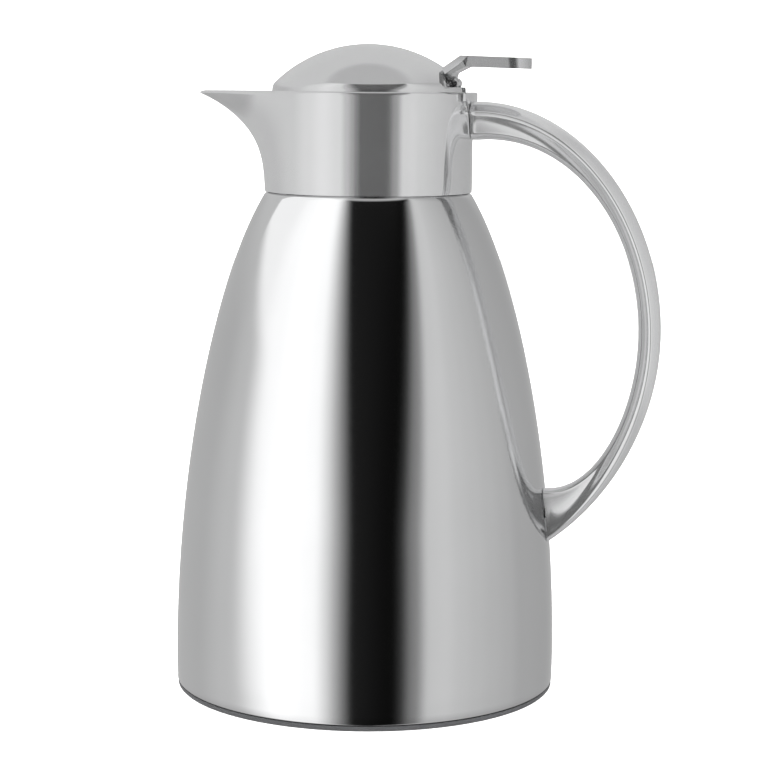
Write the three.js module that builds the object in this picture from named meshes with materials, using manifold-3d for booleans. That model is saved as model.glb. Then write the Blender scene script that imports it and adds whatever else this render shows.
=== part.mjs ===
// A glass-lined vacuum jug: polished steel shell, plated collar with a beak spout, a big
// curved handle, and a domed lid that a thumb lever tips open about a pin at the rear.
// Millimetres, +Z up. Origin: centre of the base on the table. +X handle, -X spout.
import * as THREE from 'three';
import { mergeVertices } from 'three/addons/utils/BufferGeometryUtils.js';
import Module from 'manifold-3d';

const wasm = await Module();
wasm.setup();

// ---- driving dimensions -----------------------------------------------------------------
const GAP = 0.3; // clearance between pieces that touch
const WALL = 0.8; // steel shell
const SHELL_FOOT_Z = 2.4; // lower edge of the shell
const SHELL_FOOT_R = 75.6;
const BELLY_R = 75.8; // widest radius
const BELLY_Z = 12;
const NECK_R = 40.5; // shell's neck
const NECK_Z = 197.3;

const COLLAR_R = 41.0;
const COLLAR_WALL = 2.4;
const RIM_Z = 235.7; // the collar's side rolls over into its lip here
const LIP_RISE = 1.1;
const RIM_TOP_Z = RIM_Z + LIP_RISE;
const SPOUT_REACH = 68.9; // axis to the tip of the spout
const SPOUT_NOSE = 0.05; // rounding of the tip, as an angle in plan
const TROUGH_Z = 217.5; // the spout's channel is open above this height
const STEP_Z = 206; // ledge inside the collar that carries the pouring funnel
const SKIRT_R = 38.9; // threaded skirt below the collar
const SKIRT_BORE = 36.6;
const SKIRT_Z = 182;
const PLATFORM_X = 41.1; // flat back of the rim, under the hinge
const PLATFORM_HALF = 15;

const DOME_R = 38.0; // radius at the lid's lip
const DOME_SPHERE = 52.6;
const DOME_ROLL = 4; // radius that rolls the dome over into its lip
const DOME_TOP_Z = 255.3;
const LIP_Z = 236.4; // lower edge of the lip, inside the collar's rim
const LIP_BAND_Z = 238.7; // the lip runs on round the back up to this height
const LID_WALL = 1.6;

const PIN_X = 34.4; // hinge axis
const PIN_Z = 240.2;
const PIN_R = 1.0;
const PIN_BORE = 1.3;
const HINGE_HALF = 3.6; // half width over the two ears
const EAR_W = 1.6;
const EAR_R = 2.1;
const BRACKET_HALF = 8.5;
const BRACKET_SCREW_Y = 5;
const BRACKET_SCREW_Z = 230.5;

const LEVER_HALF = 8.5; // half width of the thumb bar
const ARM_HALF = 9.2; // half width of the arm between the dome and the bar
const LEVER_SCREW_X = 25;
const LEVER_SCREW_Y = 5;

const SEAM_X = 41.3; // joint between the collar's boss and the handle
const HANDLE_HALF = 9.5; // half width at the creases
const CROWN = 4; // rise of the handle's outer face above its creases
const TOP_NOSE = 5.2; // radius of the handle's inner face at the top
const HANDLE_SCREW_Z = 223;
const FOOT_SCREW_Z = 72;
const HANDLE_HOLE_R = 2.3;

const FLASK_R = 56; // outer wall of the vacuum flask
const FLASK_NECK_R = 27;
const FLASK_BOTTOM_Z = 13;
const GLASS_WALL = 1.6;
const VACUUM = 4;
const MOUTH_Z = 208;
const FUNNEL_LAND_Z = 212.6; // flat that the stopper's seal presses on

// ---- materials --------------------------------------------------------------------------
const material = (color, roughness, metalness) =>
  new THREE.MeshStandardMaterial({ color, roughness, metalness });
const steel = () => material('#c9cacc', 0.16, 1);
const plated = () => material('#d2d3d5', 0.06, 1);
const screwSteel = () => material('#a9abae', 0.35, 1);
const darkPlastic = () => material('#4b4c4e', 0.55, 0);
const innerPlastic = () => material('#2b2c2e', 0.5, 0);
const rubber = () => material('#1d1d1e', 0.8, 0);
const silicone = () => material('#d9d9d4', 0.6, 0);
const foam = () => material('#e9e6da', 0.9, 0);
const silveredGlass = () => material('#dfe3e4', 0.08, 1);

// ---- helpers ----------------------------------------------------------------------------
const V = (x, y, z) => new THREE.Vector3(x, y, z);
const P = (x, y) => new THREE.Vector2(x, y);

function solid(geometry) {
  const bare = geometry.clone();
  bare.deleteAttribute('normal');
  bare.deleteAttribute('uv');
  const merged = mergeVertices(bare, 1e-4);
  const mesh = new wasm.Mesh({
    numProp: 3,
    vertProperties: new Float32Array(merged.attributes.position.array),
    triVerts: new Uint32Array(merged.index.array),
  });
  return new wasm.Manifold(mesh);
}

function geometry(manifold) {
  const mesh = manifold.getMesh();
  const result = new THREE.BufferGeometry();
  result.setAttribute('position', new THREE.BufferAttribute(mesh.vertProperties, 3));
  result.setIndex(new THREE.BufferAttribute(mesh.triVerts, 1));
  return result;
}

const join = (first, ...others) =>
  geometry(others.reduce((sum, other) => sum.add(solid(other)), solid(first)));
const cut = (first, ...others) =>
  geometry(others.reduce((rest, other) => rest.subtract(solid(other)), solid(first)));
const common = (first, second) => geometry(solid(first).intersect(solid(second)));

// Turns a closed outline of [radius, height] points about the jug's axis.
function turned(outline, segments = 28) {
  const points = outline.map(([r, z]) => P(r, z));
  const area = THREE.ShapeUtils.area(points);
  if (area < 0) points.reverse();
  const onAxis = points[0].x === 0 && points.at(-1).x === 0;
  if (!onAxis) points.push(points[0].clone());
  return new THREE.LatheGeometry(points, segments).rotateX(Math.PI / 2);
}

const ring = (inner, outer, low, high, segments = 28) =>
  turned([[inner, low], [outer, low], [outer, high], [inner, high]], segments);

// A side profile in X and Z with a thickness along Y, centred on y.
function slab(points, thickness, y = 0, curveSegments = 6) {
  const shape = points instanceof THREE.Shape ? points : new THREE.Shape(points.map(([x, z]) => P(x, z)));
  const body = new THREE.ExtrudeGeometry(shape, { depth: thickness, bevelEnabled: false, curveSegments });
  return body.rotateX(Math.PI / 2).translate(0, y + thickness / 2, 0);
}

// A plan outline in X and Y with a height along Z.
function plan(shape, low, high, curveSegments = 6) {
  const options = { depth: high - low, bevelEnabled: false, curveSegments };
  return new THREE.ExtrudeGeometry(shape, options).translate(0, 0, low);
}

function block(x0, x1, y0, y1, z0, z1) {
  return new THREE.BoxGeometry(x1 - x0, y1 - y0, z1 - z0)
    .translate((x0 + x1) / 2, (y0 + y1) / 2, (z0 + z1) / 2);
}

const rodX = (radius, x0, x1, y, z, sides = 16) =>
  new THREE.CylinderGeometry(radius, radius, x1 - x0, sides)
    .rotateZ(Math.PI / 2).translate((x0 + x1) / 2, y, z);
const rodY = (radius, y0, y1, x, z, sides = 16) =>
  new THREE.CylinderGeometry(radius, radius, y1 - y0, sides).translate(x, (y0 + y1) / 2, z);
const rodZ = (radius, z0, z1, x, y, sides = 16) =>
  new THREE.CylinderGeometry(radius, radius, z1 - z0, sides)
    .rotateX(Math.PI / 2).translate(x, y, (z0 + z1) / 2);

// A closed skin through rings of equal point count, each ring closed by a fan at its ends.
function loft(rings) {
  const count = rings[0].length;
  const middle = (points) => points.reduce((sum, p) => sum.add(p), V(0, 0, 0)).divideScalar(count);
  const vertices = [...rings.flat(), middle(rings[0]), middle(rings.at(-1))];
  const first = vertices.length - 2;
  const faces = [];
  for (let i = 0; i < count; i++) {
    const next = (i + 1) % count;
    for (let k = 0; k < rings.length - 1; k++) {
      const low = k * count;
      const high = low + count;
      faces.push(low + i, low + next, high + next, low + i, high + next, high + i);
    }
    const top = (rings.length - 1) * count;
    faces.push(first, next, i, first + 1, top + i, top + next);
  }
  const result = new THREE.BufferGeometry().setFromPoints(vertices);
  result.setIndex(faces);
  return result;
}

const parts = new THREE.Group();
const lid = new THREE.Group();
function add(group, name, shape, finish) {
  const mesh = new THREE.Mesh(shape, finish);
  mesh.name = name;
  group.add(mesh);
}

// ---- steel shell ------------------------------------------------------------------------
// The side of the shell is one curve from the belly to the neck.
const side = new THREE.CubicBezierCurve(
  P(BELLY_R, BELLY_Z),
  P(BELLY_R, 90.6),
  P(59.5, 166.7),
  P(NECK_R, NECK_Z),
);

function shellOutline(offset, steps = 9) {
  const foot = P(SHELL_FOOT_R + offset, SHELL_FOOT_Z);
  const points = Array.from({ length: steps + 1 }, (_, i) => {
    const at = side.getPoint(i / steps);
    const along = side.getTangent(i / steps);
    return at.add(P(along.y, -along.x).multiplyScalar(offset));
  });
  return [foot, ...points].map((p) => [p.x, p.y]);
}

function outerShell() {
  const inside = shellOutline(-WALL).reverse();
  inside[0] = [NECK_R - WALL - 0.4, NECK_Z];
  const shell = turned([...shellOutline(0), ...inside], 40);
  return cut(shell, rodX(HANDLE_HOLE_R, 60, 80, 0, FOOT_SCREW_Z, 12));
}
add(parts, 'outer_shell', outerShell(), steel());

// ---- collar with spout, handle boss and hinge lug ---------------------------------------
// The spout's underside in X and Z, from the collar's foot to the tip.
const keel = new THREE.CubicBezierCurve(
  P(-COLLAR_R, NECK_Z),
  P(-COLLAR_R, 219.5),
  P(-55.5, 230),
  P(-SPOUT_REACH, RIM_Z),
);
const SPOUT_SPREAD = Math.acos(COLLAR_R / SPOUT_REACH) + SPOUT_NOSE;

// Distance from the axis to the collar's side, at an angle from the spout's middle plane.
function collarSide(angle, radius, reach) {
  if (angle >= SPOUT_SPREAD || reach <= radius) return radius;
  const most = Math.hypot(SPOUT_SPREAD, SPOUT_NOSE);
  const share = (most - Math.hypot(angle, SPOUT_NOSE)) / (most - SPOUT_NOSE);
  return radius / Math.cos(Math.acos(radius / reach) * share);
}

// Closer together near the tip of the spout, even round the rest.
function collarRing(z, radius, reach) {
  const half = [];
  for (let i = 0; i < 7; i++) half.push(SPOUT_SPREAD * (i / 7) ** 1.5);
  for (let i = 0; i <= 12; i++) half.push(SPOUT_SPREAD + ((Math.PI - SPOUT_SPREAD) * i) / 12);
  const angles = [...half, ...half.slice(1, -1).reverse().map((a) => -a)];
  return angles.map((a) => {
    const r = collarSide(Math.abs(a), radius, reach);
    return V(-r * Math.cos(a), -r * Math.sin(a), z);
  });
}

function collarOutside(steps = 8) {
  const rings = [];
  for (let i = 0; i <= steps; i++) {
    const p = keel.getPoint(i / steps);
    rings.push(collarRing(i ? p.y : NECK_Z + GAP, COLLAR_R, -p.x));
  }
  rings.push(collarRing(RIM_Z + 0.7 * LIP_RISE, COLLAR_R - 0.35, SPOUT_REACH - 0.6));
  rings.push(collarRing(RIM_TOP_Z, COLLAR_R - 0.9, SPOUT_REACH - 1.6));
  return loft(rings);
}

function collarInside(steps = 8) {
  const radius = COLLAR_R - COLLAR_WALL;
  const rings = [collarRing(STEP_Z, radius, radius), collarRing(TROUGH_Z - 1, radius, radius)];
  for (let i = 0; i <= steps; i++) {
    const along = keel.getTangent(i / steps);
    const p = keel.getPoint(i / steps).add(P(along.y, -along.x).multiplyScalar(COLLAR_WALL));
    if (p.y > TROUGH_Z) rings.push(collarRing(p.y, radius, -p.x));
  }
  return loft(rings);
}

// Handle section: a crowned outer face between two creases, tapering to a round inner face.
// "inner" and "outer" are its two middle points, "half" its half width at the creases.
function handleRing(inner, outer, half, crown, nose) {
  const up = outer.clone().sub(inner);
  const depth = up.length();
  up.normalize();
  const local = [];
  for (let i = 0; i <= 6; i++) {
    const s = 1 - i / 3;
    local.push([s * half, depth - crown * s * s]);
  }
  for (let i = 0; i <= 5; i++) {
    const a = Math.PI * (0.04 + 0.92 * (i / 5));
    local.push([-nose * Math.cos(a), nose - nose * Math.sin(a)]);
  }
  return local.map(([y, n]) => V(inner.x + up.x * n, y, inner.z + up.z * n));
}

const handleCurve = (...ends) => new THREE.CubicBezierCurve3(...ends.map(([x, z]) => V(x, 0, z)));
const OUTER_TOP = handleCurve([44, 233.3], [83, 233.3], [116.4, 192.4], [116.4, 143.5]);
const OUTER_LOW = handleCurve([116.4, 143.5], [116.4, 110.3], [98.9, 78.6], [74.5, 61]);
const INNER_TOP = handleCurve([44, 218.4], [79.5, 221.5], [107.6, 186.3], [107.6, 143.5]);
const INNER_LOW = handleCurve([107.6, 143.5], [107.6, 113.8], [92.9, 83.1], [74.1, 82.1]);

// The handle's first section, at the seam. "grow" flares it out towards the collar.
function bossRing(x, grow = 0) {
  const inner = V(x, 0, INNER_TOP.v0.z - grow);
  const outer = V(x, 0, OUTER_TOP.v0.z + grow / 3);
  return handleRing(inner, outer, HANDLE_HALF + grow, CROWN, TOP_NOSE + grow / 2);
}

// Flat-backed platform on the rear of the rim, narrowing downwards into the boss.
function platform() {
  const level = (z, half) => [
    V(30, -half, z), V(PLATFORM_X - 2, -half, z), V(PLATFORM_X, 2 - half, z),
    V(PLATFORM_X, half - 2, z), V(PLATFORM_X - 2, half, z), V(30, half, z),
  ];
  return loft([
    level(227.5, HANDLE_HALF - 1), level(231, HANDLE_HALF + 1.5), level(233.4, PLATFORM_HALF - 0.5),
    level(RIM_TOP_Z, PLATFORM_HALF),
  ]);
}

function collar() {
  const skirt = ring(SKIRT_BORE, SKIRT_R, SKIRT_Z, STEP_Z - 2);
  const seam = bossRing(SEAM_X - GAP / 2);
  const boss = loft([bossRing(34, 4), bossRing(37.5, 2.2), bossRing(39.6, 0.9), seam]);
  const body = join(collarOutside(), skirt, boss, platform());
  const boreR = COLLAR_R - COLLAR_WALL;
  return cut(
    body,
    collarInside(),
    rodZ(SKIRT_BORE, SKIRT_Z - 1, STEP_Z + 1, 0, 0, 32),
    rodZ(boreR, RIM_Z - 10, RIM_Z + 4, 0, 0, 38),
    rodX(HANDLE_HOLE_R, 30, 50, 0, HANDLE_SCREW_Z, 12),
    ...[-1, 1].map((s) => rodX(1.4, 30, 40.7, s * BRACKET_SCREW_Y, BRACKET_SCREW_Z, 10)),
  );
}
add(parts, 'collar', collar(), plated());

// ---- handle -----------------------------------------------------------------------------
function handle() {
  const rings = [bossRing(SEAM_X + GAP / 2)];
  const top = 11;
  for (let i = 0; i <= top; i++) {
    const t = i / top;
    const [inner, outer] = [INNER_TOP.getPoint(t), OUTER_TOP.getPoint(t)];
    rings.push(handleRing(inner, outer, HANDLE_HALF - t, CROWN - 0.9 * t, TOP_NOSE - 1.6 * t));
  }
  const low = 10;
  for (let i = 1; i <= low; i++) {
    const t = i / low;
    const [inner, outer] = [INNER_LOW.getPoint(t), OUTER_LOW.getPoint(t)];
    rings.push(handleRing(inner, outer, HANDLE_HALF - 1 - 5 * t ** 3, 3.1 - 1.1 * t, 3.6 - 1.6 * t ** 2));
  }
  rings.push(handleRing(V(69, 0, 81.9), V(69, 0, 57), 3.2, 1.8, 2));
  const shellSpace = turned([[0, SHELL_FOOT_Z], ...shellOutline(GAP), [0, NECK_Z]], 80);
  return cut(
    loft(rings),
    shellSpace,
    rodX(HANDLE_HOLE_R, 40, 56, 0, HANDLE_SCREW_Z, 12),
    rodX(HANDLE_HOLE_R, 66, 84, 0, FOOT_SCREW_Z, 12),
  );
}
add(parts, 'handle', handle(), plated());

// Pan-head screw along X: head from x0 to x1, shank on to x2.
const screwX = (headR, shankR, x0, x1, x2, y, z) =>
  cut(
    join(rodX(headR, x0, x1, y, z, 12), rodX(shankR, x1 - 0.5, x2, y, z, 8)),
    block(x0 - 1, x0 + 0.9, y - headR * 0.6, y + headR * 0.6, z - 0.4, z + 0.4),
    block(x0 - 1, x0 + 0.9, y - 0.4, y + 0.4, z - headR * 0.6, z + headR * 0.6),
  );
add(parts, 'handle_top_screw', screwX(3, 1.9, 35.6, 38.1, 54.5, 0, HANDLE_SCREW_Z), screwSteel());
add(parts, 'handle_foot_screw', screwX(3.6, 1.9, 65, 67.7, 82.5, 0, FOOT_SCREW_Z), screwSteel());
const footPlate = cut(block(68, 69.5, -7, 7, 63, 81), rodX(HANDLE_HOLE_R, 60, 80, 0, FOOT_SCREW_Z, 12));
add(parts, 'handle_foot_plate', footPlate, screwSteel());

// ---- clamp ring, pouring funnel and neck gasket -----------------------------------------
// The ring screws onto the collar's skirt and grips the shell's shoulder from inside.
function clampRing() {
  const body = ring(SKIRT_R + GAP, 42.6, 183.5, 189.5);
  const notches = [0, 1, 2, 3].map((i) => rodZ(1.6, 182, 186, 42.6, 0, 10).rotateZ((i * Math.PI) / 2));
  return cut(body, ...notches);
}
add(parts, 'clamp_ring', clampRing(), innerPlastic());

const funnel = turned([
  [20.6, 210.9], [30, 210.9], [30, STEP_Z + GAP], [38.3, STEP_Z + GAP], [38.3, 217.2],
  [36.6, 217.2], [28, FUNNEL_LAND_Z], [20.6, FUNNEL_LAND_Z],
]);
add(parts, 'pouring_funnel', funnel, innerPlastic());
add(parts, 'neck_gasket', turned([
  [20.4, MOUTH_Z + GAP], [27.5, MOUTH_Z + GAP], [27.5, MOUTH_Z - 3], [29.5, MOUTH_Z - 3],
  [29.5, 210.6], [20.4, 210.6],
], 24), rubber());

// ---- vacuum flask -----------------------------------------------------------------------
// One wall of the flask from its bottom to its neck, as [radius, height].
function flaskWall(radius, neck, bottom) {
  const body = [0.35, 0.7, 1].map((s) => {
    const a = (s * Math.PI) / 2;
    return [radius * Math.sin(a), bottom + 18 - 18 * Math.cos(a)];
  });
  const shoulder = new THREE.CubicBezierCurve(P(radius, 112), P(radius, 148), P(neck, 160), P(neck, 190));
  const upper = [0, 0.35, 0.65, 1].map((t) => shoulder.getPoint(t).toArray());
  return [...body, ...upper];
}

// Two walls joined at the mouth. The small sealing tip at the bottom stays open here.
function glassLiner() {
  const wall = (inset, neck) => flaskWall(FLASK_R - inset, neck, FLASK_BOTTOM_Z + inset);
  const outer = wall(0, FLASK_NECK_R);
  const outerIn = wall(GLASS_WALL, FLASK_NECK_R - 1.4);
  const innerOut = wall(GLASS_WALL + VACUUM, 21.8);
  const inner = wall(2 * GLASS_WALL + VACUUM, 20.4);
  const tip = 1.4;
  return turned([
    [0, inner[0][1] - 0.1], ...inner, [20.4, MOUTH_Z - 1.5], [21.6, MOUTH_Z],
    [25.8, MOUTH_Z], [FLASK_NECK_R, MOUTH_Z - 1.5], ...outer.reverse(), [3, 13.2], [2.6, 8.5], [tip, 8.5],
    [tip, 14.6], ...outerIn, [25.4, MOUTH_Z - 3], [22, MOUTH_Z - 3], ...innerOut.reverse(),
    [0, innerOut.at(-1)[1] - 0.1],
  ], 24);
}
add(parts, 'glass_liner', glassLiner(), silveredGlass());

// ---- base -------------------------------------------------------------------------------
// Dark ring under the shell, with the threaded seat of the cap that holds the flask up.
const baseRing = turned([
  [47.2, 0], [59.6, 0], [59.6, 1.6], [66.4, 1.6], [66.4, 0], [74.6, 0], [75.4, 0.8], [75.4, 2.1],
  [73.7, 2.1], [73.7, 11], [71.8, 11], [71.8, 3.2], [50.4, 3.2], [50.4, 11], [47.2, 11],
]);
add(parts, 'base_ring', baseRing, darkPlastic());
add(parts, 'foot_ring', ring(59.9, 66.1, 0, 1.3), rubber());

function baseCap() {
  const body = turned([
    [0, 0], [46.9, 0], [46.9, 9.5], [43.8, 9.5], [43.8, 3.2], [26.4, 3.2], [26.4, 7], [24, 7],
    [24, 3.2], [0, 3.2],
  ]);
  const grips = [-1, 1].map((s) => rodZ(8, -1, 1.8, s * 27, 0, 18));
  return cut(body, ...grips);
}
add(parts, 'base_cap', baseCap(), darkPlastic());
add(parts, 'flask_cushion', turned([
  [8, 3.5], [23.7, 3.5], [23.7, 8], [27, 8], [27, 12.9], [8, 11.9],
], 24), rubber());

// ---- hinge ------------------------------------------------------------------------------
// Part of a circle about the hinge pin, in X and Z.
const arc = (radius, from, to, steps) =>
  Array.from({ length: steps + 1 }, (_, i) => {
    const a = from + ((to - from) * i) / steps;
    return [PIN_X + radius * Math.cos(a), PIN_Z + radius * Math.sin(a)];
  });

// A plate screwed inside the collar carries two ears that hold the pin above the rim.
function hingeBracket() {
  const ear = [[34.3, 231], [36, 231], ...arc(EAR_R, -0.7, Math.PI + 0.5, 8)];
  const ears = [-1, 1].map((s) => slab(ear, EAR_W, s * (HINGE_HALF - EAR_W / 2)));
  const plate = block(34.2, 36.4, -BRACKET_HALF, BRACKET_HALF, 226.6, 234);
  const screwHoles = [-1, 1].map((s) => rodX(1.4, 30, 40, s * BRACKET_SCREW_Y, BRACKET_SCREW_Z, 10));
  return cut(join(plate, ...ears), rodY(PIN_BORE, -10, 10, PIN_X, PIN_Z), ...screwHoles);
}
add(parts, 'hinge_bracket', hingeBracket(), plated());
add(parts, 'hinge_pin', rodY(PIN_R, -HINGE_HALF, HINGE_HALF, PIN_X, PIN_Z, 12), screwSteel());
for (const [name, s] of [['left', -1], ['right', 1]]) {
  const screw = screwX(2, 1.1, 32.2, 33.9, 40.4, s * BRACKET_SCREW_Y, BRACKET_SCREW_Z);
  add(parts, `bracket_screw_${name}`, screw, screwSteel());
}

// ---- lid --------------------------------------------------------------------------------
// Outside of the dome, or a surface inset from it, from the lip to the top.
function domeProfile(inset, steps) {
  const centre = DOME_TOP_Z - DOME_SPHERE;
  const meet = Math.asin((DOME_R - DOME_ROLL) / (DOME_SPHERE - DOME_ROLL));
  const rollZ = centre + (DOME_SPHERE - DOME_ROLL) * Math.cos(meet);
  const points = [[DOME_R - inset, LIP_Z]];
  for (let i = 0; i < 3; i++) {
    const a = Math.PI / 2 - ((Math.PI / 2 - meet) * i) / 3;
    const r = DOME_ROLL - inset;
    points.push([DOME_R - DOME_ROLL + r * Math.sin(a), rollZ + r * Math.cos(a)]);
  }
  for (let i = 0; i <= steps; i++) {
    const a = meet * (1 - i / steps);
    const r = DOME_SPHERE - inset;
    points.push([i === steps ? 0 : r * Math.sin(a), centre + r * Math.cos(a)]);
  }
  return points;
}

// The dome's back is cut off along a slope, square to the lever's arm.
const SLOPE = 0.45;
const slopeX = (z) => 31.1 + SLOPE * (244.1 - z);
const backSpace = () =>
  slab([[slopeX(LIP_BAND_Z), LIP_BAND_Z], [46, LIP_BAND_Z], [46, 252], [slopeX(252), 252]], 80);

function lidDome() {
  const shell = turned([...domeProfile(0, 6), ...domeProfile(LID_WALL, 5).reverse()], 36);
  const inside = turned([[0, LIP_Z], ...domeProfile(LID_WALL / 2, 5)], 32);
  const post = (s) => rodZ(2.6, 241.3, 252, LEVER_SCREW_X, s * LEVER_SCREW_Y, 12);
  const posts = [-1, 1].map((s) => common(post(s), inside));
  const pilots = [-1, 1].map((s) => rodZ(1.3, 240, 247, LEVER_SCREW_X, s * LEVER_SCREW_Y, 10));
  const earSlot = block(30, 46, -HINGE_HALF - 0.5, HINGE_HALF + 0.5, 236, 240);
  return cut(join(shell, ...posts), backSpace(), earSlot, ...pilots);
}
add(lid, 'lid_dome', lidDome(), plated());

// Arm, thumb bar with a round end, wall that closes the dome's back, tongue and knuckle.
function thumbLever() {
  const armTop = [[slopeX(246.1) + 0.35, 246.1], [37.6, 250.95], [40.7, 250.85]];
  const arm = slab([...armTop, [37.1, 247.4], [slopeX(243.6) + 0.35, 243.6]], 2 * ARM_HALF);
  const barSide = slab([
    [37.6, 250.95], [64.2, 250.1], [64.2, 245.9], [39.4, 246.6], [34.5, 244.1], [33.8, 241.6],
    [slopeX(241.6) + 0.35, 241.6], [slopeX(243.6) + 0.35, 243.6], [slopeX(245.5) + 0.35, 245.5],
  ], 24);
  const w = LEVER_HALF;
  const outline = new THREE.Shape();
  outline.moveTo(20, -w);
  outline.lineTo(64.2 - w, -w);
  outline.absarc(64.2 - w, 0, w, -Math.PI / 2, Math.PI / 2);
  outline.lineTo(20, w);
  const bar = common(barSide, plan(outline, 230, 260, 8));
  const [wallLow, wallHigh] = [slopeX(239), slopeX(246)];
  const wallSide = [[wallLow + 0.5, 239], [wallHigh + 0.5, 246], [wallHigh - 1, 246], [wallLow - 1, 239]];
  const domeSpace = turned([[0, LIP_Z], ...domeProfile(LID_WALL + GAP, 5)], 32);
  const backWall = common(slab(wallSide, 60), domeSpace);
  const tongue = slab([[21.5, 238.9], [32, 238.9], [32, 241], [21.5, 241]], 2 * w - 1);
  const body = cut(
    join(bar, arm, backWall, tongue),
    rodY(EAR_R + 0.4, -HINGE_HALF - GAP, HINGE_HALF + GAP, PIN_X, PIN_Z),
    block(32.1, 38, -HINGE_HALF - GAP, HINGE_HALF + GAP, 236, 240.5),
  );
  const eye = slab([[32, 239.3], ...arc(EAR_R, -2.5, 0.9, 8), [33.4, 243.4], [32.2, 242.7]], 3.4);
  const screwHoles = [-1, 1].map((s) => rodZ(1.6, 236, 243, LEVER_SCREW_X, s * LEVER_SCREW_Y, 10));
  return cut(join(body, eye), rodY(PIN_BORE, -10, 10, PIN_X, PIN_Z), ...screwHoles);
}
add(lid, 'thumb_lever', thumbLever(), plated());

// Screw along Z from below: head from z0 to z1, shank on to z2.
const screwZ = (headR, shankR, z0, z1, z2, x, y) =>
  cut(
    join(rodZ(headR, z0, z1, x, y, 12), rodZ(shankR, z1 - 0.4, z2, x, y, 8)),
    block(x - headR * 0.6, x + headR * 0.6, y - 0.35, y + 0.35, z0 - 1, z0 + 0.7),
    block(x - 0.35, x + 0.35, y - headR * 0.6, y + headR * 0.6, z0 - 1, z0 + 0.7),
  );
for (const [name, s] of [['left', -1], ['right', 1]]) {
  const screw = screwZ(2.3, 1, 237.1, 238.6, 246.5, LEVER_SCREW_X, s * LEVER_SCREW_Y);
  add(lid, `lever_screw_${name}`, screw, screwSteel());
}

// Inner cover that closes the dome from below, cut away round the hinge.
const innerCover = cut(
  turned([[4.2, 234], [36, 234], [36, 237.7], [34.4, 237.7], [34.4, 236.6], [4.2, 236.6]]),
  block(30.8, 46, -BRACKET_HALF - 0.6, BRACKET_HALF + 0.6, 232, 241),
);
add(lid, 'lid_inner_cover', innerCover, innerPlastic());

// Hollow stopper packed with foam, its seal pressing on the funnel's flat land.
add(lid, 'stopper_body', turned([
  [2.2, 216.6], [22.6, 216.6], [26.4, 233.7], [24.4, 233.7], [20.9, 218.4], [6, 218.4],
  [6, 231.5], [2.2, 231.5],
], 24), innerPlastic());
add(lid, 'stopper_foam', turned([
  [6.4, 218.8], [20.6, 218.8], [23.8, 233.2], [6.4, 233.2],
], 24), foam());
add(lid, 'stopper_seal', turned([
  [5.6, 214.3], [20, 214.3], [21.4, FUNNEL_LAND_Z + GAP], [25.4, FUNNEL_LAND_Z + GAP],
  [25.4, 214.4], [22.2, 216.3], [5.6, 216.3],
], 24), silicone());
const stopperNut = turned([[0, 237], [5.6, 237], [5.6, 240.5], [0, 240.5]], 6);
const nutHole = rodZ(1.9, 236, 239.6, 0, 0, 12);
add(lid, 'stopper_nut', cut(stopperNut, nutHole), screwSteel());
add(lid, 'stopper_screw', screwZ(5, 1.6, 214.4, 216.3, 239.2, 0, 0), screwSteel());

const jug = new THREE.Group();
jug.add(parts, lid);
export default jug;
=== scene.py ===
"""An insulated jug: polished steel shell, plated collar with a beak spout, curved handle,
domed lid with a thumb lever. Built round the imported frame, in metres, +Z up, +X handle."""
import math

import bmesh
import bpy
import numpy as np
from mathutils import Matrix, Vector


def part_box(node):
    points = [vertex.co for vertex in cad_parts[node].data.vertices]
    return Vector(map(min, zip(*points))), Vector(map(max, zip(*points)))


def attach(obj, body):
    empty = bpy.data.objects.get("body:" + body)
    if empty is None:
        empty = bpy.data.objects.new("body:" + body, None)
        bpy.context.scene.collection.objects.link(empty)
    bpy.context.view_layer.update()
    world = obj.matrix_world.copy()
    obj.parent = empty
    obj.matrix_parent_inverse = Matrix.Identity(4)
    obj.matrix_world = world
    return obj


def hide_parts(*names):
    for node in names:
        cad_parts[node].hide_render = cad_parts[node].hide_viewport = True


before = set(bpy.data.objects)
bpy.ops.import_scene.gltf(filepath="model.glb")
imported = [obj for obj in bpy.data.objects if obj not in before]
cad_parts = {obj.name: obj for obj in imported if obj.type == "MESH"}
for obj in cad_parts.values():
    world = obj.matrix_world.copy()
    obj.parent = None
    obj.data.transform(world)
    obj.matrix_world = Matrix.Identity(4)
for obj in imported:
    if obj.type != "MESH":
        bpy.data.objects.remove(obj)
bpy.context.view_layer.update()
MM = 0.001

# ---- sizes read from the frame -------------------------------------------------------------
shell_low, shell_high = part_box("outer_shell")
collar_low, collar_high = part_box("collar")
dome_low, dome_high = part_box("lid_dome")
pin_low, pin_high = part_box("hinge_pin")
base_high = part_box("base_ring")[1]
PIN_X = (pin_low.x + pin_high.x) / 2 / MM
PIN_Z = (pin_low.z + pin_high.z) / 2 / MM
HINGE_HALF = pin_high.y / MM
NECK_Z = shell_high.z / MM
FOOT_Z = shell_low.z / MM
SPOUT_REACH = -collar_low.x / MM
COLLAR_R = collar_high.y / MM
DOME_TOP = dome_high.z / MM
LIP_Z = dome_low.z / MM
BASE_R = base_high.x / MM

# ---- design values in millimetres -----------------------------------------------------------
BELLY_R = 75.8
BELLY_Z = 12.0
FOOT_R = 75.6
NECK_R = 40.5
LIP_RISE = 1.1
RIM_Z = collar_high.z / MM - LIP_RISE  # the collar's side rolls over into its lip here
COLLAR_WALL = 2.4
SPOUT_NOSE = 0.05
STEP_Z = 206.0
TROUGH_Z = 217.5
PLATFORM_X = 41.1
PLATFORM_HALF = 15.0
SEAM_X = 41.3
SEAM_GAP = 0.3
DOME_SPHERE = 52.6
DOME_R = 38.0
DOME_ROLL = 4.0
LIP_BAND_Z = 238.7
EAR_W = 1.6
EAR_R = 2.1
PIN_BORE = 1.3
HANDLE_HALF = 9.5
CROWN = 4.0
TOP_NOSE = 5.2


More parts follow.
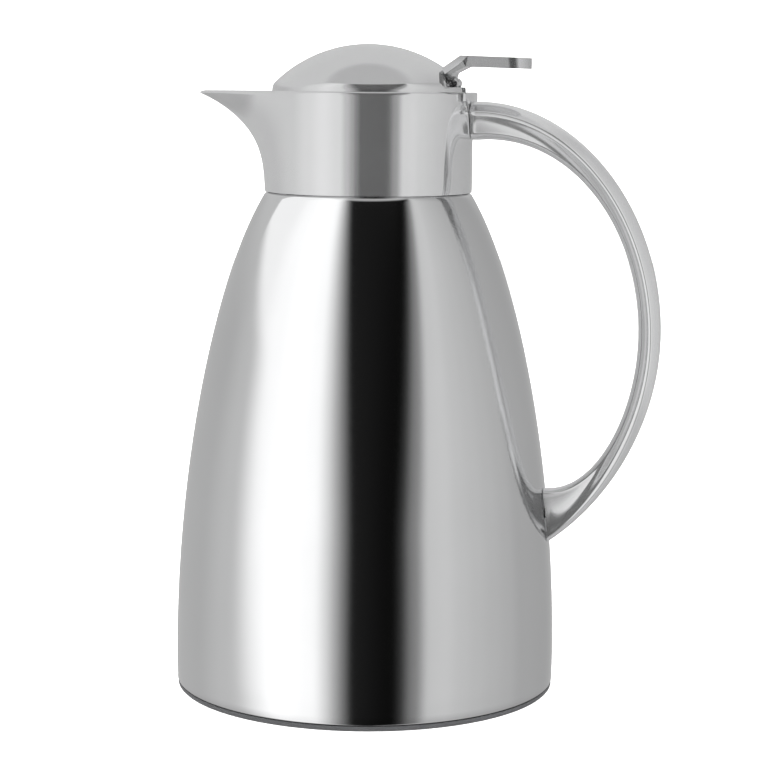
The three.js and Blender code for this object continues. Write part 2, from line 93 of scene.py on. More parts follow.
# ---- mesh helpers ---------------------------------------------------------------------------
def new_object(name, vertices, faces, sharp=35.0, weighted=True):
    """A smooth mesh in metres from millimetre points, with edges over the angle kept sharp."""
    mesh = bpy.data.meshes.new(name)
    mesh.from_pydata([(x * MM, y * MM, z * MM) for x, y, z in vertices], [], faces)
    mesh.validate()
    obj = bpy.data.objects.new(name, mesh)
    bpy.context.scene.collection.objects.link(obj)
    tidy(obj, sharp, weighted)
    return obj


def tidy(obj, sharp=35.0, weighted=True):
    """Merges doubled points, turns faces outwards and sets the shading."""
    work = bmesh.new()
    work.from_mesh(obj.data)
    bmesh.ops.remove_doubles(work, verts=work.verts, dist=1e-7)
    bmesh.ops.dissolve_degenerate(work, edges=work.edges, dist=1e-8)
    bmesh.ops.recalc_face_normals(work, faces=work.faces)
    for face in work.faces:
        face.smooth = True
    work.to_mesh(obj.data)
    work.free()
    obj.data.set_sharp_from_angle(angle=math.radians(sharp))
    if weighted:
        normals = obj.modifiers.new("normals", "WEIGHTED_NORMAL")
        normals.keep_sharp = True
        normals.weight = 80


def loft(name, rings, closed=False, **shading):
    """A skin through rings of equal length. Open ends are closed by a fan of triangles."""
    rings = [np.asarray(r, float) for r in rings]
    count = len(rings[0])
    vertices = np.concatenate(rings).tolist()
    faces = []
    last = len(rings) if closed else len(rings) - 1
    for k in range(last):
        low = k * count
        high = ((k + 1) % len(rings)) * count
        for i in range(count):
            j = (i + 1) % count
            faces.append((low + i, low + j, high + j, high + i))
    if not closed:
        for ring, start in ((rings[0], 0), (rings[-1], (len(rings) - 1) * count)):
            vertices.append(ring.mean(0).tolist())
            centre = len(vertices) - 1
            faces += [(start + i, start + (i + 1) % count, centre) for i in range(count)]
    return new_object(name, vertices, faces, **shading)


def fillet(outline, steps=5):
    """Rounds the corners of a closed outline of (x, y) or (x, y, radius) points."""
    points = []
    count = len(outline)
    for i, corner in enumerate(outline):
        radius = corner[2] if len(corner) > 2 else 0
        here = np.array(corner[:2], float)
        if radius <= 0:
            points.append(here)
            continue
        before = np.array(outline[i - 1][:2], float) - here
        after = np.array(outline[(i + 1) % count][:2], float) - here
        reach_before, reach_after = np.linalg.norm(before), np.linalg.norm(after)
        before, after = before / reach_before, after / reach_after
        half = math.acos(max(-1, min(1, float(before @ after)))) / 2
        setback = min(radius / math.tan(half), reach_before * 0.49, reach_after * 0.49)
        middle = here + (before + after) / np.linalg.norm(before + after) * setback / math.cos(half)
        start, end = here + before * setback - middle, here + after * setback - middle
        sweep = math.pi - 2 * half
        for k in range(steps + 1):
            t = k / steps
            a, b = math.sin((1 - t) * sweep), math.sin(t * sweep)
            points.append(middle + (start * a + end * b) / math.sin(sweep))
    return points


def turned(name, outline, segments=192, steps=5, **shading):
    """Turns a closed (radius, height[, corner radius]) outline about the jug's axis."""
    profile = fillet(outline, steps)
    rings = []
    for k in range(segments):
        a = 2 * math.pi * k / segments
        rings.append([(r * math.cos(a), r * math.sin(a), z) for r, z in profile])
    return loft(name, rings, closed=True, **shading)


def prism(name, outline, low, high, plane="xz", **shading):
    """A flat outline in X and Z with a thickness along Y, or in X and Y with one along Z."""
    place = (lambda a, b, c: (a, c, b)) if plane == "xz" else (lambda a, b, c: (a, b, c))
    return loft(name, [[place(x, y, level) for x, y in outline] for level in (low, high)], **shading)


def boolean(obj, other, operation):
    """Joins, cuts or intersects, and removes the other object."""
    step = obj.modifiers.new("boolean", "BOOLEAN")
    step.operation = operation
    step.solver = "EXACT"
    step.object = other
    apply(obj)
    bpy.data.objects.remove(other)


def apply(obj):
    """Makes the object's modifiers part of its mesh."""
    graph = bpy.context.evaluated_depsgraph_get()
    mesh = bpy.data.meshes.new_from_object(obj.evaluated_get(graph))
    obj.modifiers.clear()
    obj.data = mesh


def bevelled(obj, width, segments=3, angle=40.0, sharp=35.0):
    """Rounds the object's sharp edges by a width in millimetres."""
    step = obj.modifiers.new("bevel", "BEVEL")
    step.width = width * MM
    step.segments = segments
    step.limit_method = "ANGLE"
    step.angle_limit = math.radians(angle)
    step.harden_normals = False
    apply(obj)
    tidy(obj, sharp)


def joined(name, first, *others):
    """Puts several closed bodies into one object."""
    for obj in (first, *others):
        apply(obj)
    work = bmesh.new()
    for obj in (first, *others):
        work.from_mesh(obj.data)
    mesh = bpy.data.meshes.new(name)
    work.to_mesh(mesh)
    work.free()
    for obj in others:
        bpy.data.objects.remove(obj)
    first.data = mesh
    first.name = name
    return first


def bezier(points, count):
    """Points and unit tangents along a cubic curve."""
    p = np.array(points, float)
    t = np.linspace(0, 1, count)[:, None]
    at = (1 - t) ** 3 * p[0] + 3 * (1 - t) ** 2 * t * p[1] + 3 * (1 - t) * t**2 * p[2] + t**3 * p[3]
    way = (1 - t) ** 2 * (p[1] - p[0]) + 2 * (1 - t) * t * (p[2] - p[1]) + t**2 * (p[3] - p[2])
    return at, way / np.linalg.norm(way, axis=1)[:, None]


# ---- materials ------------------------------------------------------------------------------
class Nodes:
    """Builds a material's node tree in a few words."""

    def __init__(self, name):
        self.material = bpy.data.materials.new(name)
        self.material.use_nodes = True
        self.tree = self.material.node_tree
        self.shader = self.tree.nodes["Principled BSDF"]

    def add(self, kind, **values):
        node = self.tree.nodes.new(kind)
        for key, value in values.items():
            setattr(node, key, value)
        return node

    def link(self, source, target):
        self.tree.links.new(source, target)

    def position(self, scale=(1, 1, 1)):
        """Object position, stretched."""
        coordinates = self.add("ShaderNodeTexCoord")
        mapping = self.add("ShaderNodeMapping")
        mapping.inputs["Scale"].default_value = scale
        self.link(coordinates.outputs["Object"], mapping.inputs["Vector"])
        return mapping.outputs["Vector"]

    def noise(self, scale, detail=3.0, stretch=(1, 1, 1), roughness=0.55):
        node = self.add("ShaderNodeTexNoise")
        node.inputs["Scale"].default_value = scale
        node.inputs["Detail"].default_value = detail
        node.inputs["Roughness"].default_value = roughness
        self.link(self.position(stretch), node.inputs["Vector"])
        return node.outputs["Fac"]

    def ramp(self, value, low, high, span=(0.35, 0.65)):
        """Maps a noise value to a range of numbers."""
        node = self.add("ShaderNodeMapRange")
        node.inputs["From Min"].default_value = span[0]
        node.inputs["From Max"].default_value = span[1]
        node.inputs["To Min"].default_value = low
        node.inputs["To Max"].default_value = high
        self.link(value, node.inputs["Value"])
        return node.outputs["Result"]

    def tint(self, value, first, second):
        """Blends two colours by a value."""
        node = self.add("ShaderNodeMix", data_type="RGBA")
        node.inputs["A"].default_value = (*first, 1)
        node.inputs["B"].default_value = (*second, 1)
        self.link(value, node.inputs["Factor"])
        self.link(node.outputs["Result"], self.shader.inputs["Base Color"])

    def bump(self, height, strength, distance):
        node = self.add("ShaderNodeBump")
        node.inputs["Strength"].default_value = strength
        node.inputs["Distance"].default_value = distance
        self.link(height, node.inputs["Height"])
        self.link(node.outputs["Normal"], self.shader.inputs["Normal"])

    def mix(self, first, second, share=0.5):
        node = self.add("ShaderNodeMix")
        node.inputs["Factor"].default_value = share
        self.link(first, node.inputs["A"])
        self.link(second, node.inputs["B"])
        return node.outputs["Result"]


def metal(name, tone, rough, wear=0.02, lines=(1, 1, 60), metallic=1.0, relief=0.00002, grain=900):
    """Polished or plated metal: fine polishing lines, faint smears and small uneven gloss."""
    n = Nodes(name)
    n.shader.inputs["Metallic"].default_value = metallic
    smear = n.noise(14, 4)
    fine = n.noise(grain, 2, lines)
    n.tint(n.ramp(smear, 0, 1), tone, tuple(c * 0.965 for c in tone))
    n.link(n.ramp(n.mix(smear, fine, 0.4), rough, rough + wear), n.shader.inputs["Roughness"])
    n.bump(fine, 0.12, relief)
    return n.material


def plastic(name, tone, rough, grain=1400, relief=0.00004, spread=0.12, coat=0.0):
    """Moulded plastic with a fine spark-eroded texture."""
    n = Nodes(name)
    n.shader.inputs["Coat Weight"].default_value = coat
    texture = n.noise(grain, 2)
    cloud = n.noise(30, 3)
    n.tint(n.ramp(cloud, 0, 1), tone, tuple(min(1, c * (1 + spread)) for c in tone))
    n.link(n.ramp(cloud, rough, min(1, rough + 0.1)), n.shader.inputs["Roughness"])
    n.bump(texture, 0.5, relief)
    return n.material


def rubber(name, tone, rough=0.7):
    """Soft matte rubber or silicone with a dusty bloom."""
    n = Nodes(name)
    n.shader.inputs["Specular IOR Level"].default_value = 0.35
    bloom = n.noise(60, 5)
    n.tint(n.ramp(bloom, 0, 1), tone, tuple(min(1, c * 1.5 + 0.01) for c in tone))
    n.link(n.ramp(bloom, rough, rough + 0.15), n.shader.inputs["Roughness"])
    n.bump(n.noise(2200, 2), 0.4, 0.00003)
    return n.material


def foam(name):
    """Closed-cell foam."""
    n = Nodes(name)
    cells = n.add("ShaderNodeTexVoronoi", feature="F1")
    cells.inputs["Scale"].default_value = 900
    n.link(n.position(), cells.inputs["Vector"])
    n.tint(n.ramp(cells.outputs["Distance"], 0, 1, (0, 0.6)), (0.88, 0.86, 0.78), (0.72, 0.7, 0.62))
    n.shader.inputs["Roughness"].default_value = 0.9
    n.bump(cells.outputs["Distance"], 0.8, 0.0004)
    return n.material


PLATE_TONE = (0.80, 0.803, 0.808)
STEEL = metal("polished_steel", PLATE_TONE, 0.07, 0.03, lines=(1, 1, 70))
PLATING_LINES = {"relief": 0.000003, "grain": 500}
CHROME = metal("bright_plating", PLATE_TONE, 0.035, 0.015, (1, 1, 0.06), 0.93, **PLATING_LINES)
SATIN_CHROME = metal("handle_plating", PLATE_TONE, 0.12, 0.03, (1, 1, 0.3), 0.86, **PLATING_LINES)
LEVER_CHROME = metal("lever_plating", (0.68, 0.683, 0.688), 0.18, 0.04, (0.1, 1, 1), 0.95, **PLATING_LINES)
PIN_STEEL = metal("ground_steel", (0.62, 0.62, 0.63), 0.22, 0.1, lines=(1, 40, 1))
SCREW_STEEL = metal("screw_steel", (0.55, 0.55, 0.56), 0.3, 0.15)
ZINC = metal("zinc_plate", (0.6, 0.61, 0.62), 0.4, 0.2)
SILVER = metal("silvered_glass", (0.86, 0.87, 0.875), 0.03, 0.03, lines=(1, 1, 1))
BASE_PLASTIC = plastic("base_plastic", (0.06, 0.061, 0.064), 0.45)
INNER_PLASTIC = plastic("inner_plastic", (0.018, 0.018, 0.019), 0.3, relief=0.00002)
BLACK_RUBBER = rubber("black_rubber", (0.02, 0.02, 0.021))
SILICONE = rubber("silicone", (0.62, 0.62, 0.6), 0.45)
FOAM = foam("cell_foam")


def place(obj, material, body, slot, *nodes):
    """Gives a finished piece its material and body, and hides the CAD nodes it stands for; slot is not
    used.
    """
    obj.data.materials.clear()
    obj.data.materials.append(material)
    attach(obj, body)
    if nodes:
        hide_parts(*nodes)
    return obj


# ---- shell ----------------------------------------------------------------------------------
SIDE = [(BELLY_R, BELLY_Z), (BELLY_R, 90.6), (59.5, 166.7), (NECK_R, NECK_Z)]


def shell():
    wall = 0.8
    at, way = bezier(SIDE, 110)
    across = np.stack([way[:, 1], -way[:, 0]], axis=1)
    outside = [tuple(p) for p in at]
    inside = [tuple(p) for p in (at - across * wall)[::-4]]
    foot = [(FOOT_R - wall, FOOT_Z + 1.6, 0), (FOOT_R - 1.1, FOOT_Z, 0.3), (FOOT_R, FOOT_Z, 0.5)]
    foot += [(FOOT_R + 0.06, 5.5), (FOOT_R + 0.15, 8.8)]
    top = [(NECK_R - 0.25, NECK_Z), (NECK_R - 0.7, NECK_Z)]
    outline = foot + outside[:-1] + [(NECK_R, NECK_Z - 0.3)] + top + inside[1:]
    return turned("jug_shell", outline, 288, weighted=False)


place(shell(), STEEL, "jug", "shell_steel", "outer_shell")


# ---- collar ---------------------------------------------------------------------------------
KEEL = [(-COLLAR_R, NECK_Z), (-COLLAR_R, 219.5), (-55.5, 230), (-SPOUT_REACH, RIM_Z)]
SPREAD = math.acos(COLLAR_R / SPOUT_REACH) + SPOUT_NOSE
MOST = math.hypot(SPREAD, SPOUT_NOSE)


def collar_side(angle, radius, reach):
    """Distance from the axis to the collar's side, at an angle from the spout's middle."""
    if angle >= SPREAD or reach <= radius:
        return radius
    share = (MOST - math.hypot(angle, SPOUT_NOSE)) / (MOST - SPOUT_NOSE)
    return radius / math.cos(math.acos(radius / reach) * share)


HALF = [SPREAD * (i / 56) ** 1.35 for i in range(56)]
HALF += [SPREAD + (math.pi - SPREAD) * i / 96 for i in range(97)]
ANGLES = HALF + [-a for a in HALF[-2:0:-1]]


def collar_ring(z, radius, reach):
    sides = [collar_side(abs(a), radius, reach) for a in ANGLES]
    return np.array([(-r * math.cos(a), -r * math.sin(a), z) for r, a in zip(sides, ANGLES)])


def collar_shell():
    """Outside, rounded lip, inside with the spout's channel, and the threaded skirt."""
    inner = COLLAR_R - COLLAR_WALL
    at, way = bezier(KEEL, 64)
    rings = [collar_ring(NECK_Z + 0.3, COLLAR_R - 0.35, COLLAR_R - 0.35)]
    rings += [collar_ring(NECK_Z + 0.4, COLLAR_R - 0.1, COLLAR_R - 0.1)]
    rings += [collar_ring(max(p[1], NECK_Z + 0.65), COLLAR_R, -p[0]) for p in at[2:-2]]
    within = at + np.stack([way[:, 1], -way[:, 0]], axis=1) * COLLAR_WALL
    channel = [p for p in within if TROUGH_Z < p[1] < RIM_Z - 0.8]
    over = np.interp(RIM_Z, within[:, 1], -within[:, 0])
    outer_lip = collar_ring(RIM_Z, COLLAR_R, SPOUT_REACH)
    inner_lip = collar_ring(RIM_Z, inner, over)
    for turn in np.linspace(0, math.pi, 17):
        lip = outer_lip + (inner_lip - outer_lip) * (1 - math.cos(turn)) / 2
        lip[:, 2] += LIP_RISE * math.sin(turn)
        rings.append(lip)
    rings += [collar_ring(p[1], inner, -p[0]) for p in channel[::-2]]
    rings += [collar_ring(TROUGH_Z - 0.3, inner, inner), collar_ring(STEP_Z, inner, inner)]
    bore, skirt = 36.6, 38.9
    rings += [collar_ring(z, bore, bore) for z in (STEP_Z, 183)]
    for k in range(12):
        rings += [collar_ring(183 + k + d, skirt - e, skirt) for d, e in ((0.1, 0.5), (0.5, 0), (0.9, 0.5))]
    rings += [collar_ring(NECK_Z + 0.3, skirt - 0.5, skirt - 0.5)]
    return loft("collar_shell", rings, closed=True, sharp=50, weighted=False)


def handle_section(inner, outer, half, crown, nose, bevel=1.5):
    """Crowned outer face, crease, narrow bevel under it, side and round inner face."""
    flat = 0.75
    up = np.array(outer, float) - np.array(inner, float)
    depth = np.linalg.norm(up)
    up /= depth
    right = []
    for s in np.linspace(0, 1, 15):
        right.append((s * (half - 0.15), depth - crown * (s**2) * 0.97))
    edge = depth - crown
    right += [(half - 0.03, edge - 0.12), (half, edge - 0.35)]
    side_top = (half - 0.35 * bevel, edge - bevel)
    right += [(half - 0.12 * bevel, edge - 0.6 * bevel), side_top]
    wide, tall = nose * (2 - flat) * 0.95, nose * flat
    low_angle = math.radians(14)
    low = (wide * math.cos(low_angle), tall - tall * math.sin(low_angle))
    for s in np.linspace(0.15, 1, 9):
        pinch = 0.3 * math.sin(math.pi * s)
        across = side_top[0] + (low[0] - side_top[0]) * s - pinch
        right.append((across, side_top[1] + (low[1] - side_top[1]) * s))
    for a in np.linspace(low_angle, math.pi / 2, 12)[1:]:
        right.append((wide * math.cos(a), tall - tall * math.sin(a)))
    right[-1] = (0, 0)
    outline = right + [(-y, n) for y, n in right[-2:0:-1]]
    return np.array([(inner[0] + up[0] * n, y, inner[1] + up[1] * n) for y, n in outline])


def boss_section(x):
    return handle_section((x, 218.4), (x, 233.3), HANDLE_HALF, CROWN, TOP_NOSE)


def boss():
    """Short stub for the handle, flowing out of the collar's side with a hollow fillet."""
    end = SEAM_X - SEAM_GAP / 2
    edge = boss_section(end)
    after = np.roll(edge, -1, axis=0) - np.roll(edge, 1, axis=0)
    normal = np.stack([np.zeros(len(edge)), -after[:, 2], after[:, 1]], axis=1)
    normal /= np.linalg.norm(normal, axis=1)[:, None]
    centre = edge.mean(0)
    flip = np.sign(((edge - centre) * normal).sum(1))
    normal *= flip[:, None]
    rings = [edge - normal * 0.2, edge - normal * 0.06 - [0.03, 0, 0], edge - [0.12, 0, 0]]
    width = 4.2 - 3.4 * np.clip(normal[:, 2:] * 1.6, 0, 1)
    for t in np.linspace(0, 1, 14)[1:]:
        spot = edge + normal * width * t
        spot[:, 2] = np.minimum(spot[:, 2], RIM_Z - 1.2)
        surface = np.sqrt(np.maximum(COLLAR_R**2 - spot[:, 1] ** 2, 1))
        lift = (end - 0.2 - np.sqrt(COLLAR_R**2 - edge[:, 1] ** 2)) * (1 - math.sqrt(1 - (1 - t) ** 2))
        spot[:, 0] = surface + np.maximum(lift, 0) - 0.02 * t
        rings.append(spot)
    back = rings[-1].copy()
    back[:, 0] -= 1.5
    rings.append(back)
    return loft("collar_boss", rings, sharp=40, weighted=False)


def platform():
    """Flat-backed block under the hinge, sweeping down into the boss with a hollow edge."""
    corner = 2.0
    behind = 39.2
    top = RIM_Z + LIP_RISE
    levels = []
    for t in np.linspace(0, 1, 12):
        half = HANDLE_HALF - 0.8 + (PLATFORM_HALF - HANDLE_HALF + 0.8) * (1 - math.sqrt(1 - t**2))
        levels.append((228.6 + 4.9 * t, half, 0))
    rounding = ((0.7, 0), (0.35, 0.1), (0.1, 0.33), (0, 0.75))
    levels += [(top - drop, PLATFORM_HALF, inset) for drop, inset in rounding]
    rings = []
    for z, half, inset in levels:
        w, end = half - inset, PLATFORM_X - inset
        inner = [(math.sqrt(behind**2 - y**2), y) for y in np.linspace(w, -w, 15)]
        outline = fillet(inner + [(end, -w, corner - inset / 2), (end, w, corner - inset / 2)], 8)
        rings.append([(x, y, z) for x, y in outline])
    return loft("collar_platform", rings, sharp=50, weighted=False)


place(joined("collar_body", collar_shell(), boss(), platform()), CHROME, "jug", "collar_plating", "collar")


# ---- handle ---------------------------------------------------------------------------------
OUTER_TOP = [(44, 233.3), (83, 233.3), (116.4, 192.4), (116.4, 143.5)]
OUTER_LOW = [(116.4, 143.5), (116.4, 110.3), (98.9, 78.6), (74.5, 61)]
INNER_TOP = [(44, 218.4), (79.5, 221.5), (107.6, 186.3), (107.6, 143.5)]
INNER_LOW = [(107.6, 143.5), (107.6, 113.8), (92.9, 83.1), (74.1, 82.1)]


def handle():
    start = SEAM_X + SEAM_GAP / 2
    rings = []
    for inset, step in ((0.2, 0.0), (0.06, 0.03), (0, 0.12)):
        ring = boss_section(start + step)
        centre = ring.mean(0)
        rings.append(centre + (ring - centre) * (1 - inset / 9))
    count = 72
    (outer, _), (inner, _) = bezier(OUTER_TOP, count), bezier(INNER_TOP, count)
    for k in range(count):
        t = k / (count - 1)
        crown, nose = CROWN - 0.9 * t, TOP_NOSE - 1.6 * t
        rings.append(handle_section(inner[k], outer[k], HANDLE_HALF - t, crown, nose))
    (outer, _), (inner, _) = bezier(OUTER_LOW, count), bezier(INNER_LOW, count)
    for k in range(1, count):
        t = k / (count - 1)
        half = HANDLE_HALF - 1 - 4.6 * t**3
        rings.append(handle_section(inner[k], outer[k], half, 3.1 - 1.1 * t, 3.6 - 0.3 * t, 1.5 + 1.6 * t))
    rings.append(handle_section((69, 81.9), (69, 57), 3.6, 1.8, 3.3, 3.1))
    body = loft("handle_body", rings, sharp=40, weighted=False)
    at, way = bezier(SIDE, 60)
    hollow = [tuple(p) for p in at + np.stack([way[:, 1], -way[:, 0]], axis=1) * SEAM_GAP]
    space = turned("handle_space", [(20, BELLY_Z)] + hollow + [(20, NECK_Z)], 384, weighted=False)
    boolean(body, space, "DIFFERENCE")
    tidy(body, 40, weighted=False)
    return body


place(handle(), SATIN_CHROME, "jug", "handle_plating", "handle")


# ---- base -----------------------------------------------------------------------------------
def base_ring():
    return turned("base_ring_body", [
        (47.2, 0, 0.4), (59.6, 0, 0.3), (59.6, 1.6), (66.4, 1.6), (66.4, 0, 0.3), (BASE_R - 0.8, 0, 0.3),
        (BASE_R, 0.8, 0.3), (BASE_R, 2.1, 0.25), (73.7, 2.1), (73.7, 11, 0.3), (71.8, 11, 0.3), (71.8, 3.2),
        (50.4, 3.2), (50.4, 11, 0.3), (47.2, 11, 0.3),
    ], 256)


def foot_ring():
    return turned("foot_ring_body", [
        (59.9, 1.3), (59.9, 0.35, 0.2), (60.6, 0, 0.3), (62.2, 0, 0.2), (62.6, 0.3, 0.1), (63.4, 0.3, 0.1),
        (63.8, 0, 0.2), (65.4, 0, 0.3), (66.1, 0.35, 0.2), (66.1, 1.3),
    ], 192)


def base_cap():
    body = turned("base_cap_body", [
        (0.01, 0), (46.9, 0, 0.5), (46.9, 9.5, 0.4), (43.8, 9.5, 0.4), (43.8, 3.2), (26.4, 3.2),
        (26.4, 7, 0.3), (24, 7, 0.3), (24, 3.2), (0.01, 3.2),
    ], 160)
    grip, offset = 8, 27
    turns = np.linspace(0, 2 * math.pi, 65)[:-1]
    for side in (-1, 1):
        circle = [(grip * math.cos(a), side * offset + grip * math.sin(a)) for a in turns]
        boolean(body, prism("grip", circle, -1, 1.8, plane="xy"), "DIFFERENCE")
    tidy(body, 35)
    return body


place(base_ring(), BASE_PLASTIC, "jug", "base_plastic", "base_ring")
place(foot_ring(), BLACK_RUBBER, "jug", "black_rubber", "foot_ring")
place(base_cap(), BASE_PLASTIC, "jug", "base_plastic", "base_cap")


# ---- inside the collar ----------------------------------------------------------------------
def funnel():
    return turned("funnel_body", [
        (20.6, 210.9, 0.5), (30, 210.9, 0.3), (30, 206.3), (38.3, 206.3), (38.3, 217.2, 0.4),
        (36.6, 217.2, 0.5), (28, 212.6, 2.5), (20.6, 212.6, 0.6),
    ], 192)


def flask():
    wall, vacuum = 1.6, 4.0
    def side(radius, neck, bottom):
        bowl = 18
        turns = np.linspace(0.25, math.pi / 2, 10)
        low = [(radius * math.sin(a), bottom + bowl - bowl * math.cos(a)) for a in turns]
        up, _ = bezier([(radius, 112), (radius, 148), (neck, 160), (neck, 190)], 18)
        return low + [tuple(p) for p in up]
    outer, outer_in = side(56, 27, 13), side(54.4, 25.6, 13 + wall)
    inner_out, inner = side(50.4, 21.8, 13 + wall + vacuum), side(48.8, 20.4, 13 + 2 * wall + vacuum)
    return turned("flask_body", [(0.01, 20.2)] + inner + [(20.4, 208, 0.8), (27, 208, 0.8)] + outer[::-1]
                  + [(3, 13.2), (2.6, 8.5), (1.4, 8.5), (1.4, 14.6)] + outer_in
                  + [(25.4, 205), (22, 205)] + inner_out[::-1] + [(0.01, 18.6)], 96, weighted=False)


place(funnel(), INNER_PLASTIC, "jug", "inner_plastic", "pouring_funnel")
place(flask(), SILVER, "jug", "silvered_glass", "glass_liner")


# ---- hinge ----------------------------------------------------------------------------------
def round_about_pin(radius, start, end, count):
    turns = np.linspace(start, end, count)
    return [(PIN_X + radius * math.cos(a), PIN_Z + radius * math.sin(a)) for a in turns]


def pin_hole(obj):
    """Cuts the pin's hole through a piece of the hinge."""
    hole = round_about_pin(PIN_BORE, 0, 2 * math.pi, 41)[:-1]
    boolean(obj, prism("pin_hole", hole, -HINGE_HALF - 1, HINGE_HALF + 1), "DIFFERENCE")
    tidy(obj)


def bracket():
    half = 8.5
    ear = [(34.3, 231), (36, 231)] + round_about_pin(EAR_R, -0.7, math.pi + 0.5, 28)
    pieces = []
    for side in (-1, 1):
        low, high = sorted((side * HINGE_HALF, side * (HINGE_HALF - EAR_W)))
        piece = prism("ear", ear, low, high)
        bevelled(piece, 0.25, 3, 35)
        pin_hole(piece)
        pieces.append(piece)
    plate = prism("plate", [(34.2, 226.6), (36.4, 226.6), (36.4, 234), (34.2, 234)], -half, half)
    bevelled(plate, 0.3, 3)
    return joined("hinge_bracket_body", *pieces, plate)


def pin():
    """Riveted pin: a shaft with a low domed head at each end."""
    half = HINGE_HALF - 0.02
    profile = [(0.0, half), (0.6, half - 0.04), (0.9, half - 0.2), (1.0, half - 0.45)]
    profile = profile + [(r, -y) for r, y in profile[::-1]]
    turns = np.linspace(0, 2 * math.pi, 41)[:-1]
    rings = [[(PIN_X + max(r, 0.01) * math.cos(a), y, PIN_Z + max(r, 0.01) * math.sin(a)) for a in turns]
             for r, y in profile]
    return loft("hinge_pin_body", rings)


place(bracket(), CHROME, "jug", "bracket_steel", "hinge_bracket")
place(pin(), PIN_STEEL, "jug", "pin_steel", "hinge_pin")


# ---- lid ------------------------------------------------------------------------------------
DOME_CENTRE = DOME_TOP - DOME_SPHERE


def dome_profile(inset, count):
    """Lip, roll and sphere of the dome, or a surface inset from them, from the lip upwards."""
    meet = math.asin((DOME_R - DOME_ROLL) / (DOME_SPHERE - DOME_ROLL))
    roll_z = DOME_CENTRE + (DOME_SPHERE - DOME_ROLL) * math.cos(meet)
    r = DOME_ROLL - inset
    rolled = [(DOME_R - DOME_ROLL + r * math.sin(a), roll_z + r * math.cos(a))
              for a in np.linspace(math.pi / 2, meet, 16)[:-1]]
    r = DOME_SPHERE - inset
    cap = [(r * math.sin(a), DOME_CENTRE + r * math.cos(a)) for a in np.linspace(meet, 0.0002, count)]
    return rolled + cap


def slope_x(z):
    """The dome's back is cut off along this slope."""
    return 31.1 + 0.45 * (244.1 - z)


def dome():
    """Spherical cap rolling over into a short upright lip, cut off along a slope at the rear."""
    wall, top = 1.6, 252
    foot = [(DOME_R - wall, LIP_Z), (DOME_R - 0.25, LIP_Z), (DOME_R, LIP_Z + 0.25)]
    outline = foot + dome_profile(0, 90) + dome_profile(wall, 30)[::-1]
    body = turned("dome_body", outline, 288, weighted=False, sharp=40)
    back = [(slope_x(LIP_BAND_Z), LIP_BAND_Z), (46, LIP_BAND_Z), (46, top), (slope_x(top), top)]
    boolean(body, prism("dome_back", back, -45, 45), "DIFFERENCE")
    w = HINGE_HALF + 0.5
    ear_gap = [(30, 236), (46, 236), (46, 240), (30, 240)]
    boolean(body, prism("dome_slot", ear_gap, -w, w), "DIFFERENCE")
    tidy(body, 30, weighted=False)
    return body


def cut_ear_path(obj, start, top, half):
    """Cuts the path of the bracket's ears into a piece of the lever."""
    low, end = 236, 38
    box = [(start, low), (end, low), (end, top), (start, top)]
    boolean(obj, prism("ear_path", box, -half, half), "DIFFERENCE")


def lever():
    """Arm with sloping sides, thumb bar, wall closing the dome's back, tongue and hinge eye."""
    half, end = 8.5, 64.2
    top_x, low_x = slope_x(246.1) + 0.35, slope_x(243.6) + 0.35
    arm_outline = [
        (top_x, 246.1, 8.6), (37.6, 250.95, 8.6), (40.7, 250.85, 8.5), (37.1, 247.4, 9.2),
        (low_x, 243.6, 9.2),
    ]
    body = loft("lever_arm", [[(x, side * y, z) for x, z, y in arm_outline] for side in (-1, 1)])
    side = [(37.6, 250.95), (end, 250.1), (end, 245.9), (39.4, 246.6, 2), (34.5, 244.1), (33.8, 241.6),
            (slope_x(241.6) + 0.35, 241.6), (low_x, 243.6), (top_x, 245.6)]
    bar = prism("lever_bar", fillet(side, 6), -12, 12)
    levels = []
    turns = np.linspace(-math.pi / 2, math.pi / 2, 49)
    for z, w in ((235, half - 1.95), (251.5, half + 0.02)):
        tip = [(end - w + w * math.cos(a), w * math.sin(a), z) for a in turns]
        levels.append([(20, -w, z)] + tip + [(20, w, z)])
    boolean(bar, loft("lever_plan", levels), "INTERSECT")
    boolean(body, bar, "UNION")
    space = HINGE_HALF + 0.3
    ear_space = round_about_pin(EAR_R + 0.4, 0, 2 * math.pi, 41)[:-1]
    boolean(body, prism("ear_space", ear_space, -space, space), "DIFFERENCE")
    cut_ear_path(body, 32.1, 240.5, space)
    bevelled(body, 0.5, 4, 30, 30)
    low, high = slope_x(239), slope_x(246)
    wall_side = [(low + 0.5, 239), (high + 0.5, 246), (high - 1, 246), (low - 1, 239)]
    wall = prism("lever_wall", wall_side, -30, 30)
    inset = 1.95
    room_outline = [(0.01, LIP_Z), (DOME_R - inset, LIP_Z)] + dome_profile(inset, 30)
    boolean(wall, turned("room", room_outline, 128, weighted=False), "INTERSECT")
    cut_ear_path(wall, 30, 242.2, space)
    tidy(wall)
    tongue_side = [(21.5, 238.9), (32, 238.9), (32, 241), (21.5, 241)]
    tongue = prism("tongue", tongue_side, 0.5 - half, half - 0.5)
    cut_ear_path(tongue, 31, 242, space)
    bevelled(tongue, 0.3)
    eye_side = [(32, 239.3)] + round_about_pin(EAR_R, -2.5, 0.9, 24) + [(33.4, 243.6), (32.2, 242.9)]
    eye = prism("eye", eye_side, -1.7, 1.7)
    bevelled(eye, 0.2, 3, 35)
    pin_hole(eye)
    return joined("thumb_lever_body", body, wall, tongue, eye)


place(dome(), CHROME, "lid", "dome_plating", "lid_dome")
place(lever(), LEVER_CHROME, "lid", "lever_plating", "thumb_lever")


